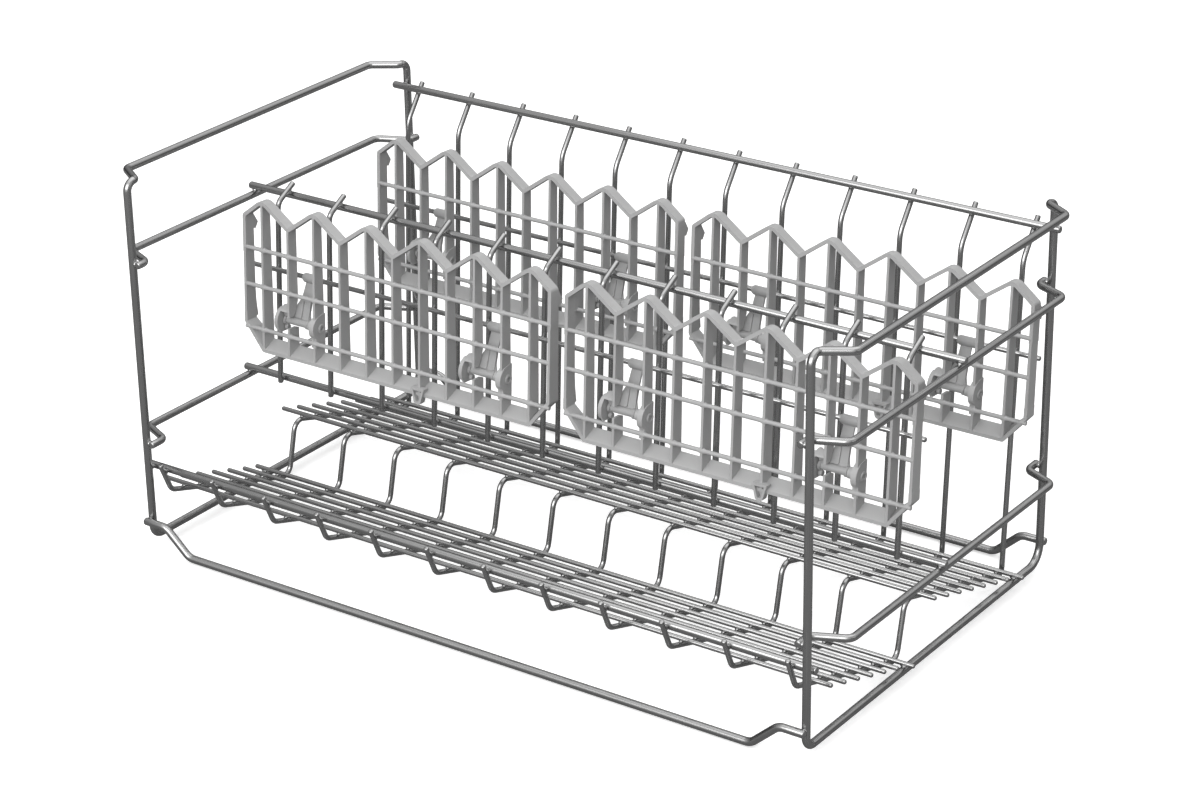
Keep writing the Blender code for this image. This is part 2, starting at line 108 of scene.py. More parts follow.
# Contour wires and tines, as (y, z)
CONTOUR_BACK_BEND = (116.6, 200.0)
CONTOUR_BACK_FOOT = (105.3, 5.8)
CONTOUR_STEP = ((-8.6, 39.9), (-17.2, 4.0))
CONTOUR_FRONT = (-124.6, 38.1)
CONTOUR_BENDS = [0, 16, 3.5, 7, 7, 7, 0]
CONTOUR_TIP_RISE = 2.9  # of the tip above the middle of the top rail
CURL_Z = 57.4
BACK_SLANT = 1.13  # level distance of a slanted wire from a rail, over the distance square to it
RIM_SLANT = 1.08
TINE_FOOT = (-21.75, 70.5)
TINE_BEND_Y = -14.55
TINE_TIP_Y = 0.6
TINE_SLOPE = math.radians(29)
TINE_BEND = 7

# Holders: names that end in _Z are heights above the floor
HOLDER_HALF = 114.7
DEPTH_LOW = 9.4  # from front to back, at the sill
DEPTH_HIGH = 7.0  # the same at the teeth
RIB = 1.6
BAND = 2.3
BAR = 2.5
PEAK_Z = 194.8
VALLEY_Z = 181.0
SHOULDER_Z = 184.6
BAND_END_Z = 160.0
CHAMFER_Z = 114.3
SILL_Z = 97.3
SILL = 2.1
SILL_HALF = 100.3
SILL_RISE = 4.6  # from the sill's front edge to its back edge
RIB_SPACING = 20.0
RIB_STEPS = range(-5, 6)
BAR_HEIGHTS = (162.9, 139.3, 111.7)
STRADDLED_RIBS = (-80.0, 60.0)
LEAN = 3.4  # degrees that a holder's top leans back
HOLDER_EDGE = 0.32  # width of the rounding on edges
HANGER_EDGE = 0.28

# The linkage: the hinge rail's height, and a hanger's pin seen from the rail
HINGE_Z = 145.9
LINK_Y = -11.55
LINK_Z = -25.2
PIN_Z = HINGE_Z + LINK_Z

# A holder's own places, with y and z from the axis of its pins
FRONT = -5.3  # y of the front face
PEAK = PEAK_Z - PIN_Z - BAND * 0.33
VALLEY = VALLEY_Z - PIN_Z - BAND * 0.6
SHOULDER = SHOULDER_Z - PIN_Z - BAND * 0.6
SILL_MIDDLE = SILL_Z - PIN_Z + SILL / 2
CHAMFER = CHAMFER_Z - PIN_Z + 0.6
END_RIB = HOLDER_HALF - 0.9
BAR_Y = FRONT + BAR / 2 - 0.15
KNUCKLE_Y = FRONT + BAR / 2 - 0.1
PIN_HOLE = 1.55  # radius

# Stage, in metres
FLOOR_HALF = 14.0
FLOOR_DROP = 0.0004  # keeps the floor from flickering against the feet
WORLD_LOBES = (
    # direction, strength, where it starts as a cosine
    ((0.15, -0.97, 0.15), 0.9, 0.35),
    ((0.1, 0.72, 0.66), 0.35, 0.55),
)
LIGHT_TARGET = (0, 0, 0.1)
LIGHTS = (
    # name, place, size, power
    ("key", (0.2, -2.1, 1.4), (2.6, 1.4), 30),
    ("top", (0.0, 0.2, 2.3), (2.8, 2.2), 12),
    ("fill", (2.3, 0.2, 0.8), (1.2, 0.9), 2),
)
CAMERA_PLACE = (1.0114, -1.4211, 0.8863)
CAMERA_TARGET = (-0.0666, 0.1060, 0.0483)
CAMERA_ROLL = math.radians(-0.9112)
CAMERA_LENS = 97.9

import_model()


# ---------------------------------------------------------------- shapes


class Shape:
    """Closed shells gathered into one mesh, with a grain coordinate at every point."""

    def __init__(self):
        self.points = []
        self.grain = []
        self.faces = []

    def add(self, points, faces, grain=None):
        start = len(self.points)
        points = [Vector(point) for point in points]
        self.points += points
        self.grain += grain or points
        self.faces += [[start + index for index in face] for face in faces]

    def rings(self, rings, grain=None, closed=False):
        """Joins rings of equal length one to the next, and caps the ends of an open row."""
        size, count = len(rings[0]), len(rings)
        faces = []
        for row in range(count if closed else count - 1):
            low, high = row * size, (row + 1) % count * size
            for step in range(size):
                after = (step + 1) % size
                faces.append([low + step, low + after, high + after, high + step])
        if not closed:
            faces.append(list(range(size))[::-1])
            faces.append([(count - 1) * size + step for step in range(size)])
        self.add([point for ring in rings for point in ring], faces, grain)

    def prism(self, outlines, low, high, axis):
        """A plate from low to high on the axis; the first outline is its rim, the others are holes."""
        place = {
            "x": lambda a, b, c: (c, a, b),
            "y": lambda a, b, c: (a, c, b),
        }[axis]
        flat = [(a, b) for outline in outlines for a, b in outline]
        count = len(flat)
        points = [place(a, b, c) for c in (low, high) for a, b in flat]
        loops = [[Vector((a, b, 0)) for a, b in outline] for outline in outlines]
        faces = []
        for face in tessellate_polygon(loops):
            faces.append(list(face))
            faces.append([count + index for index in reversed(face)])
        start = 0
        for outline in outlines:
            size = len(outline)
            for step in range(size):
                a, b = start + step, start + (step + 1) % size
                faces.append([a, b, count + b, count + a])
            start += size
        self.add(points, faces)

    def block(self, low, high):
        """A box between two corners."""
        outline = [(low[0], low[2]), (high[0], low[2]), (high[0], high[2]), (low[0], high[2])]
        self.prism([outline], low[1], high[1], "y")

    def mesh(self, name):
        made = bpy.data.meshes.new(name)
        made.from_pydata([point * MM for point in self.points], [], self.faces)
        grain = made.attributes.new("grain", "FLOAT_VECTOR", "POINT")
        grain.data.foreach_set("vector", [axis * MM for point in self.grain for axis in point])
        shape = bmesh.new()
        shape.from_mesh(made)
        bmesh.ops.recalc_face_normals(shape, faces=shape.faces)
        shape.to_mesh(made)
        shape.free()
        return made


def bent(corners, radius, steps=BEND_STEPS):
    """The points of a path whose inner corners are rounded.

    The radius is one value for all corners or a list with one for each.
    """
    corners = [Vector(corner) for corner in corners]
    radii = [radius] * len(corners) if isinstance(radius, (int, float)) else radius
    points = [corners[0]]
    for index in range(1, len(corners) - 1):
        here = corners[index]
        back = (corners[index - 1] - here).normalized()
        ahead = (corners[index + 1] - here).normalized()
        turn = math.pi - back.angle(ahead)
        reach = radii[index] * math.tan(turn / 2)
        inward = (back + ahead).normalized()
        centre = here + inward * (radii[index] / math.cos(turn / 2))
        start = here + back * reach - centre
        axis = start.cross(here + ahead * reach - centre).normalized()
        for step in range(steps + 1):
            spun = Matrix.Rotation(turn * step / steps, 3, axis) @ start
            points.append(centre + spun)
    points.append(corners[-1])
    return points


def arc(centre, radius, start, end, steps):
    """Points of an arc in degrees, as pairs."""
    angles = [math.radians(start + (end - start) * step / steps) for step in range(steps + 1)]
    return [(centre[0] + radius * math.cos(a), centre[1] + radius * math.sin(a)) for a in angles]


def circle(centre, radius, steps=24):
    """Points of a circle, as pairs."""
    return arc(centre, radius, 0, 360, steps)[:-1]


# ---------------------------------------------------------------- wires

placed = []  # every wire so far: its shape, path, whether it is closed, its radius


def wire(shape, path, diameter, closed=False, rim=CUT_RIM):
    """A round wire along a path, its cut ends rounded at the rim."""
    radius, count = diameter / 2, len(path)
    tangents = []
    for index in range(count):
        before = path[index - 1] if index or closed else path[0]
        after = path[(index + 1) % count] if index + 1 < count or closed else path[-1]
        tangents.append((after - before).normalized())
    sides = [tangents[0].orthogonal().normalized()]
    for a, b in zip(tangents, tangents[1:]):
        sides.append(a.rotation_difference(b) @ sides[-1])
    along = [0.0]
    for a, b in zip(path, path[1:]):
        along.append(along[-1] + (b - a).length)
    stations = list(zip(path, tangents, sides, [radius] * count, along))
    if closed:
        back = tangents[-1].rotation_difference(tangents[0]) @ sides[-1]
        twist = math.atan2(tangents[0].dot(sides[0].cross(back)), sides[0].dot(back))
        length = along[-1] + (path[0] - path[-1]).length
        stations = [
            (point, ahead, Matrix.Rotation(-twist * far / length, 3, ahead) @ side, thick, far)
            for point, ahead, side, thick, far in stations
        ]
    else:
        edge = radius * rim
        first, last = [], []
        for step in range(4):
            turn = math.pi / 2 * step / 3
            thick = radius - edge + edge * math.sin(turn)
            reach = edge * (1 - math.cos(turn))
            first.append((path[0] + tangents[0] * reach, tangents[0], sides[0], thick, reach))
            last.append(
                (path[-1] - tangents[-1] * reach, tangents[-1], sides[-1], thick, along[-1] - reach)
            )
        stations = first + stations[1:-1] + last[::-1]
    rings, grain = [], []
    offset = GRAIN_STEP * len(placed)
    for point, ahead, side, thick, far in stations:
        up = ahead.cross(side)
        ring = []
        for step in range(WIRE_SIDES):
            turn = 2 * math.pi * step / WIRE_SIDES
            a, b = thick * math.cos(turn), thick * math.sin(turn)
            ring.append(point + side * a + up * b)
            grain.append(Vector((a, b, far + offset)))
        rings.append(ring)
    shape.rings(rings, grain, closed)
    placed.append((shape, path, closed, radius))


def spans(path, closed):
    """The straight stretches of a path."""
    ends = path[1:] + (path[:1] if closed else [])
    return [(a, b) for a, b in zip(path, ends) if (b - a).length > SHORTEST_SPAN]


def on_span(point, a, b):
    """The nearest point of the stretch from a to b."""
    share = (point - a).dot(b - a) / (b - a).length_squared
    return a + (b - a) * min(max(share, 0.0), 1.0)


def bead(shape, middle, along, normal, half):
    """A small smooth swelling of metal at a weld, with its half sizes along, across and up."""
    across = normal.cross(along).normalized()
    rings = []
    for polar in (25, 55, 90, 125, 155):
        out, up = math.sin(math.radians(polar)), -math.cos(math.radians(polar))
        centre = middle + normal * (half[2] * up)
        ring = []
        for step in range(12):
            turn = math.pi * step / 6
            reach = along * (half[0] * math.cos(turn)) + across * (half[1] * math.sin(turn))
            ring.append(centre + reach * out)
        rings.append(ring)
    shape.rings(rings)


def weld_crossings():
    """A bead wherever two wires cross and touch."""
    for index, (shape, path, closed, radius) in enumerate(placed):
        for _, other_path, other_closed, other_radius in placed[:index]:
            for a, b in spans(path, closed):
                for c, d in spans(other_path, other_closed):
                    along, other = (b - a).normalized(), (d - c).normalized()
                    if abs(along.dot(other)) > NEARLY_PARALLEL:
                        continue
                    found = intersect_line_line(a, b, c, d)
                    if not found:
                        continue
                    here = on_span(found[0], a, b)
                    there = on_span(here, c, d)
                    here = on_span(there, a, b)
                    apart = there - here
                    gap = apart.length - radius - other_radius
                    if not WELD_GAPS[0] < gap < WELD_GAPS[1]:
                        continue
                    normal = apart.normalized()
                    middle = here + normal * (radius + gap / 2)
                    small = min(radius, other_radius)
                    half = (other_radius * BEAD_LENGTH, radius * BEAD_LENGTH, small * BEAD_HEIGHT)
                    bead(shape, middle, along, normal, half)


def middle_of(node):
    """The middle of a CAD node's box."""
    low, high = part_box(node)
    return (low + high) / 2 / MM


def straight(shape, node, diameter, rim=CUT_RIM):
    """A straight wire along X where its CAD node is."""
    low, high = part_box(node)
    centre = (low + high) / 2 / MM
    ends = [Vector((x / MM, centre.y, centre.z)) for x in (low.x, high.x)]
    wire(shape, ends, diameter, rim=rim)


def end_loop(side):
    """The closed path of a basket end: bottom rail, front post, carrying grip and back post."""
    corners = [
        (side * POST_X, -POST_Y, LOOP_BOTTOM_Z),
        (side * POST_X, -POST_Y, HANDLE_Z),
        (side * POST_X, -HANDLE_JOG_HALF, HANDLE_Z),
        (side * HANDLE_X, -HANDLE_HALF, HANDLE_Z),
        (side * HANDLE_X, HANDLE_HALF, HANDLE_Z),
        (side * POST_X, HANDLE_JOG_HALF, HANDLE_Z),
        (side * POST_X, POST_Y, HANDLE_Z),
        (side * POST_X, POST_Y, LOOP_BOTTOM_Z),
    ]
    middle = (side * POST_X, 0.0, LOOP_BOTTOM_Z)
    return bent([middle, *corners, middle], LOOP_BENDS)[:-1]


def foot_rail(side):
    """A rail outside the posts that dips to the floor between its two ends."""
    y = side * (POST_Y + LOOP_WIRE - SINK)
    low = LOOP_WIRE / 2
    profile = [
        (-FOOT_TIP_X, FOOT_STUB_Z),
        (-FOOT_JOG_OUTER_X, FOOT_STUB_Z),
        (-FOOT_JOG_INNER_X, low),
        (FOOT_JOG_INNER_X, low),
        (FOOT_JOG_OUTER_X, FOOT_STUB_Z),
        (FOOT_TIP_X, FOOT_STUB_Z),
    ]
    return bent([(x, y, z) for x, z in profile], FOOT_BEND)


def side_rail(side, z, half, jog_half):
    """A rail inside the posts of one end that bends outwards between them."""
    inner = side * (POST_X - LOOP_WIRE / 2 - RAIL_WIRE / 2 - GAP)
    outer = side * SIDE_X
    tip = POST_Y + SIDE_OVERHANG
    corners = [
        (inner, -tip, z),
        (inner, -jog_half, z),
        (outer, -half, z),
        (outer, half, z),
        (inner, jog_half, z),
        (inner, tip, z),
    ]
    return bent(corners, SIDE_BEND)


def contour_path(x):
    """A cross wire from its tip behind the top rail down, over the step, to its curled front end."""
    apart = RAIL_WIRE / 2 + CONTOUR_WIRE / 2 + GAP
    top_rail_z, rim_z = middle_of("back_top_rail").z, middle_of("front_rim_rail").z
    behind = (RAIL_Y + apart * BACK_SLANT, top_rail_z)
    lean = (behind[0] - CONTOUR_BACK_BEND[0]) / (behind[1] - CONTOUR_BACK_BEND[1])
    tip = (behind[0] + CONTOUR_TIP_RISE * lean, behind[1] + CONTOUR_TIP_RISE)
    at_rim = (-RAIL_Y - apart * RIM_SLANT, rim_z)
    front_lean = (at_rim[0] - CONTOUR_FRONT[0]) / (at_rim[1] - CONTOUR_FRONT[1])
    curl = (at_rim[0] + (CURL_Z - rim_z) * front_lean, CURL_Z)
    profile = [tip, CONTOUR_BACK_BEND, CONTOUR_BACK_FOOT, *CONTOUR_STEP, CONTOUR_FRONT, curl]
    return bent([(x, y, z) for y, z in profile], CONTOUR_BENDS)


def tine_path(x):
    """A tine from its foot in front of the centre bottom rail up to its tip, bent over the top rail."""
    rail = middle_of("centre_top_rail")
    apart = (RAIL_WIRE + TINE_WIRE) / 2 + GAP
    over_y = rail.y - apart * math.sin(TINE_SLOPE)
    over_z = rail.z + apart * math.cos(TINE_SLOPE)
    bend_z = over_z - (over_y - TINE_BEND_Y) * math.tan(TINE_SLOPE)
    tip_z = over_z + (TINE_TIP_Y - over_y) * math.tan(TINE_SLOPE)
    profile = [TINE_FOOT, (TINE_BEND_Y, bend_z), (TINE_TIP_Y, tip_z)]
    return bent([(x, y, z) for y, z in profile], TINE_BEND)


def numbered(pattern, count):
    """Node names with the numbers from 1 to count."""
    return [pattern.format(index + 1) for index in range(count)]


def build_wires():
    """All wires, their weld beads and the pieces made of them."""
    base = Shape()
    for side in (-1, 1):
        wire(base, end_loop(side), LOOP_WIRE, closed=True)
    for side in (-1, 1):
        wire(base, foot_rail(side), LOOP_WIRE)
    pieces = [("base_frame_wires", base, ["base_frame"])]

    lower = Shape()
    for side in (-1, 1):
        wire(lower, side_rail(side, LOWER_RAIL_Z, *LOWER_SIDE_HALVES), RAIL_WIRE)
    y = TINE_FOOT[0] + TINE_WIRE / 2 + RAIL_WIRE / 2 + GAP
    z = LOWER_RAIL_Z + RAIL_WIRE - SINK
    bottom_rail = [Vector((x, y, z)) for x in (-BOTTOM_RAIL_HALF, BOTTOM_RAIL_HALF)]
    wire(lower, bottom_rail, RAIL_WIRE)
    pieces.append(("lower_cross_wires", lower, ["lower_cross_frame"]))

    for word, side in (("left", -1), ("right", 1)):
        shape = Shape()
        node = f"upper_side_rail_{word}"
        wire(shape, side_rail(side, middle_of(node).z, *UPPER_SIDE_HALVES), RAIL_WIRE)
        pieces.append((f"upper_side_wire_{word}", shape, [node]))

    for node, diameter in (
        ("centre_top_rail", RAIL_WIRE),
        ("back_top_rail", RAIL_WIRE),
        ("front_rim_rail", RAIL_WIRE),
        ("centre_hinge_rail", HINGE_WIRE),
        ("back_hinge_rail", HINGE_WIRE),
    ):
        shape = Shape()
        straight(shape, node, diameter)
        pieces.append((f"{node}_wire", shape, [node]))

    for name, pattern, count, path_of, diameter in (
        ("contour_wires", "contour_wire_{:02d}", 12, contour_path, CONTOUR_WIRE),
        ("centre_tines", "centre_tine_{:02d}", 12, tine_path, TINE_WIRE),
    ):
        shape = Shape()
        nodes = numbered(pattern, count)
        for node in nodes:
            wire(shape, path_of(middle_of(node).x), diameter)
        pieces.append((name, shape, nodes))

    for word, count in (("front", 7), ("rear", 8)):
        shape = Shape()
        nodes = numbered(word + "_shelf_wire_{}", count)
        for node in nodes:
            straight(shape, node, SHELF_WIRE, rim=SHELF_CUT_RIM)
        pieces.append((f"{word}_shelf_wires", shape, nodes))

    weld_crossings()
    for name, shape, nodes in pieces:
        made = shape.mesh(name)
        made.shade_smooth()
        made.set_sharp_from_angle(angle=SMOOTH_ANGLE)
        add_piece(name, made, "stainless_wire", "basket", *nodes)


# ---------------------------------------------------------------- pieces and materials


def add_piece(name, mesh, slot, body, *nodes):
    """An object that rides on a body and stands for the CAD nodes named last."""
    obj = bpy.data.objects.new(name, mesh)
    bpy.context.scene.collection.objects.link(obj)
    mesh.materials.clear()
    mesh.materials.append(materials[slot])
    if slot != "stainless_wire":
        weigh = obj.modifiers.new("weigh", "WEIGHTED_NORMAL")
        weigh.keep_sharp = True
    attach(obj, body)
    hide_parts(*nodes)


def new_material(name):
    """A new material with its node tree and its surface shader."""
    made = bpy.data.materials.new(name)
    made.use_nodes = True
    tree = made.node_tree
    return made, tree, tree.nodes["Principled BSDF"]


def noise(tree, vector, scale, detail=3.0, rough=0.55):
    """Noise over a vector that is first scaled on each axis."""
    vector = stretched(tree, vector, scale)
    node = tree.nodes.new("ShaderNodeTexNoise")
    node.inputs["Scale"].default_value = 1.0
    node.inputs["Detail"].default_value = detail
    node.inputs["Roughness"].default_value = rough
    tree.links.new(vector, node.inputs["Vector"])
    return node.outputs["Fac"]


def stretched(tree, source, scale):
    """A vector scaled on each axis."""
    node = tree.nodes.new("ShaderNodeMapping")
    node.inputs["Scale"].default_value = scale
    tree.links.new(source, node.inputs["Vector"])
    return node.outputs["Vector"]


def remap(tree, value, low, high, start=0.3, end=0.7):
    """Maps the range from start to end onto the range from low to high."""
    node = tree.nodes.new("ShaderNodeMapRange")
    tree.links.new(value, node.inputs["Value"])
    for name, number in (("From Min", start), ("From Max", end), ("To Min", low), ("To Max", high)):
        node.inputs[name].default_value = number
    return node.outputs["Result"]


def total(tree, *values):
    """The sum of all the values."""
    out = values[0]
    for value in values[1:]:
        node = tree.nodes.new("ShaderNodeMath")
        node.operation = "ADD"
        tree.links.new(out, node.inputs[0])
        tree.links.new(value, node.inputs[1])
        out = node.outputs[0]
    return out


def grey_between(tree, factor, dark, light):
    """A grey that goes from dark to light with the factor."""
    node = tree.nodes.new("ShaderNodeMix")
    node.data_type = "RGBA"
    tree.links.new(factor, node.inputs["Factor"])
    node.inputs["A"].default_value = (dark, dark, dark, 1.0)
    node.inputs["B"].default_value = (light, light, light, 1.0)
    return node.outputs["Result"]


def bump(tree, shader, height, strength, distance):
    """Fine relief on a surface, from a changing height."""
    node = tree.nodes.new("ShaderNodeBump")
    node.inputs["Strength"].default_value = strength
    node.inputs["Distance"].default_value = distance
    tree.links.new(height, node.inputs["Height"])
    tree.links.new(node.outputs["Normal"], shader.inputs["Normal"])


def grain_of(tree):
    """The grain coordinate that every mesh carries."""
    node = tree.nodes.new("ShaderNodeAttribute")
    node.attribute_name = "grain"
    return node.outputs["Vector"]


def steel():
    """Drawn stainless wire: fine streaks along the wire and a slow change of tone."""
    made, tree, shader = new_material("stainless_wire")
    grain = grain_of(tree)
    fine = noise(tree, grain, (3600, 3600, 22))
    broad = noise(tree, grain, (500, 500, 9), detail=2.0)
    tone = total(tree, remap(tree, fine, 0.0, 0.5), remap(tree, broad, 0.0, 0.5))
    tree.links.new(grey_between(tree, tone, 0.38, 0.50), shader.inputs["Base Color"])
    tree.links.new(remap(tree, fine, 0.20, 0.28), shader.inputs["Roughness"])
    shader.inputs["Metallic"].default_value = 1.0
    bump(tree, shader, fine, 0.12, 0.00003)
    return made


def plastic(name, dark, light, rough):
    """Moulded polypropylene: a faint mottle, flow streaks and a fine grained skin."""
    made, tree, shader = new_material(name)
    grain = grain_of(tree)
    cloud = noise(tree, grain, (45, 45, 45))
    flow = noise(tree, grain, (60, 260, 900))
    skin = noise(tree, grain, (2600, 2600, 2600), rough=0.6)
    tone = total(
        tree,
        remap(tree, cloud, 0.0, 0.5),
        remap(tree, flow, 0.0, 0.2),
        remap(tree, skin, 0.0, 0.3),
    )
    tree.links.new(grey_between(tree, tone, dark, light), shader.inputs["Base Color"])
    roughness = total(
        tree,
        remap(tree, skin, rough - 0.05, rough + 0.06),
        remap(tree, cloud, -0.02, 0.03),
    )
    tree.links.new(roughness, shader.inputs["Roughness"])
    shader.inputs["Metallic"].default_value = 0.0
    shader.inputs["Specular IOR Level"].default_value = 0.4
    bump(tree, shader, total(tree, skin, remap(tree, flow, 0.0, 0.3)), 0.25, 0.00006)
    return made


materials = {
    "stainless_wire": steel(),
    "holder_plastic": plastic("holder_plastic", 0.42, 0.50, 0.48),
    "hanger_plastic": plastic("hanger_plastic", 0.36, 0.44, 0.44),
}


def finished(shape, name, width):
    """The shape's mesh with its sharp edges rounded and its overlapping shells made one."""
    mesh = shape.mesh(name)
    helper = bpy.data.objects.new(name + "_sharp", mesh)
    bpy.context.scene.collection.objects.link(helper)
    bevel = helper.modifiers.new("bevel", "BEVEL")
    bevel.width = width * MM
    bevel.segments = 2
    bevel.limit_method = "ANGLE"
    bevel.angle_limit = math.radians(40)
    bevel.use_clamp_overlap = True
    # A union with an empty mesh resolves the overlaps inside the shape itself
    speck = bpy.data.objects.new(name + "_speck", bpy.data.meshes.new(name + "_speck"))
    bpy.context.scene.collection.objects.link(speck)
    join = helper.modifiers.new("join", "BOOLEAN")
    join.operation = "UNION"
    join.solver = "EXACT"
    join.use_self = True
    join.object = speck
    bpy.context.view_layer.update()
    graph = bpy.context.evaluated_depsgraph_get()
    made = bpy.data.meshes.new_from_object(helper.evaluated_get(graph))
    bpy.data.objects.remove(helper)
    bpy.data.objects.remove(speck)
    bpy.data.meshes.remove(mesh)
    made.name = name
    made.shade_smooth()
    made.set_sharp_from_angle(angle=SMOOTH_ANGLE)
    return made


# ---------------------------------------------------------------- holders


def depth_at(z):
    """How deep a holder is at a height from its pin axis."""
    low, high = SILL_Z - PIN_Z, PEAK_Z - PIN_Z
    return DEPTH_LOW + (DEPTH_HIGH - DEPTH_LOW) * (z - low) / (high - low)


def ribbon(shape, path, thick, rises=None):
    """A strip whose thickness lies in the XZ plane, along a path of (x, z).

    Its back edge lies higher than its front edge by the rise at each point.
    """
    rings = []
    for index, (x, z) in enumerate(path):
        before = Vector(path[max(index - 1, 0)])
        after = Vector(path[min(index + 1, len(path) - 1)])
        here = Vector((x, z))
        back = (here - before) if index else (after - here)
        ahead = (after - here) if index + 1 < len(path) else back
        turn = back.angle(ahead)
        along = (back.normalized() + ahead.normalized()).normalized()
        out = Vector((-along.y, along.x)) * (thick / 2 / math.cos(turn / 2))
        near, far = FRONT, FRONT + depth_at(z)
        a, b = here + out, here - out
        up = rises[index] if rises else 0.0
        rings.append([(a.x, near, a.y), (b.x, near, b.y), (b.x, far, b.y + up), (a.x, far, a.y + up)])
    shape.rings(rings)


def flat_path(corners, radii, steps=6):
    """A path with rounded corners in the XZ plane, given and returned as pairs."""
    points = bent([(x, 0, z) for x, z in corners], radii, steps)
    return [(point.x, point.z) for point in points]


def holder_shape():
    """A holder before it leans: x from its middle, y and z from the axis of its pins."""
    shape = Shape()
    toothed_band(shape)
    sill(shape)
    for side in (-1, 1):
        low, high = CHAMFER_Z - PIN_Z + 0.5, SHOULDER_Z - PIN_Z - 2
        ribbon(shape, [(side * END_RIB, low), (side * END_RIB, high)], RIB + 0.2)
    for step in RIB_STEPS:
        x = RIB_SPACING * step
        low = SILL_MIDDLE - 0.3
        high = PEAK - 1.1 if step % 2 else VALLEY - 0.2
        if x in STRADDLED_RIBS:
            straddled_rib(shape, x, low, high)
        else:
            ribbon(shape, [(x, low), (x, high)], RIB, [SILL_RISE, 0.0])
    for height in BAR_HEIGHTS:
        bar(shape, height - PIN_Z)
    for rib in STRADDLED_RIBS:
        ears(shape, rib)
    nubs(shape)
    catch(shape, RIB_SPACING)
    return shape


def toothed_band(shape):
    """The zigzag band along the top, with its ends bent down onto the end ribs."""
    end = BAND_END_Z - PIN_Z
    teeth = [(RIB_SPACING * step, PEAK if step % 2 else VALLEY) for step in RIB_STEPS]
    corners = [(-END_RIB, end), (-END_RIB, SHOULDER), *teeth, (END_RIB, SHOULDER), (END_RIB, end)]
    radii = [0, 1.4, *[5.2 if step % 2 else 2.2 for step in RIB_STEPS], 1.4, 0]
    ribbon(shape, flat_path(corners, radii), BAND)


def sill(shape):
    """The strip along the bottom, with a chamfer up to each end rib."""
    corners = [
        (-END_RIB, CHAMFER + 6),
        (-END_RIB, CHAMFER),
        (-SILL_HALF, SILL_MIDDLE),
        (SILL_HALF, SILL_MIDDLE),
        (END_RIB, CHAMFER),
        (END_RIB, CHAMFER + 6),
    ]
    path = flat_path(corners, [0, 1.0, 1.5, 1.5, 1.0, 0], 3)
    ribbon(shape, path, SILL, [SILL_RISE if z < CHAMFER - 1 else 0.0 for x, z in path])


def straddled_rib(shape, x, low, high):
    """A rib that leaves room for a hanger's barrel, and behind it for the swinging web."""
    back = FRONT + depth_at(14)
    above = [
        (FRONT, high),
        (FRONT, 3.6),
        (-0.9, 3.6),
        (-0.6, 3.9),
        (0.3, 5.6),
        (1.2, 7.8),
        (2.1, 10.2),
        (2.9, 12.4),
        (back, 14.6),
        (FRONT + depth_at(high), high),
    ]
    below = [
        (FRONT, low),
        (FRONT, -3.7),
        (1.0, -3.7),
        (FRONT + depth_at(-5), -4.7),
        (FRONT + depth_at(low), low + SILL_RISE),
    ]
    for outline in (above, below):
        shape.prism([outline], x - RIB / 2, x + RIB / 2, "x")


def bar(shape, z):
    """A horizontal bar with a small knuckle on each rib."""
    reach = HOLDER_HALF - 0.35
    section = circle((BAR_Y, z), BAR / 2 * 1.04, 12)
    shape.rings([[(x, y, up) for y, up in section] for x in (-reach, reach)])
    knuckle = circle((KNUCKLE_Y, z), BAR / 2 * 1.42, 12)
    narrow = circle((BAR_Y, z), BAR / 2, 12)
    for step in RIB_STEPS:
        x = RIB_SPACING * step
        rows = [(-2.6, narrow), (-1.1, knuckle), (1.1, knuckle), (2.6, narrow)]
        shape.rings([[(x + shift, y, up) for y, up in ring] for shift, ring in rows])


def ears(shape, rib):
    """The plates on both sides of a hanger that hold its pin."""
    hole = circle((0, 0), PIN_HOLE, 16)
    left = [
        (3.6, 8.6),
        (0.8, 9.0),
        *arc((0.2, 0), 8.1, 112, 214, 16),
        (-4.6, -7.3),
        (1.8, -7.3),
        (3.6, -4.0),
    ]
    shape.prism([left, hole], rib - 8.2, rib - 6.6, "x")
    rim = [*arc((0.2, 0), 8.4, 100, 216, 18), *arc((0.2, 0), 7.0, 216, 100, 18)]
    shape.prism([rim], rib - 8.8, rib - 6.4, "x")
    bridge = [(-4.9, 6.4), (-4.2, 7.5), (0.8, 9.4), (0.8, 8.2), (-3.6, 6.5)]
    shape.prism([bridge], rib - 7.8, rib + 0.5, "x")
    back = FRONT + DEPTH_LOW - 0.4
    right = [
        (back, 9.0),
        (1.6, 8.8),
        *arc((0.2, 0.2), 8.2, 108, 206, 16),
        (-5.1, -5.4),
        (-5.1, -11.6),
        (back, -11.6),
    ]
    shape.prism([right, hole], rib + 17.9, rib + 21.4, "x")
    for low, high, radius in ((12.9, 18.2, 3.3), (21.0, 22.2, 2.9)):
        boss = [circle((0, 0), radius), circle((0, 0), PIN_HOLE)]
        shape.prism(boss, rib + low, rib + high, "x")


def nubs(shape):
    """A nub on the back edge of each end rib, and the flare at the left one's foot."""
    end = -HOLDER_HALF
    back = FRONT + depth_at(60)
    nub = [(back - 1.5, 62.6), (back, 62.2), (back + 4.6, 55.4), (back + 2.4, 51.6), (back - 1.5, 52.8)]
    for low in (end + 0.1, -end - 1.7):
        shape.prism([nub], low, low + 1.6, "x")
    back = FRONT + depth_at(5)
    flare = [
        (back - 1.5, 16.0),
        (back - 0.2, 15.0),
        (back + 0.5, 5.0),
        (back + 2.0, -4.6),
        (back - 1.5, -4.8),
    ]
    shape.prism([flare], end + 0.1, end + 1.7, "x")


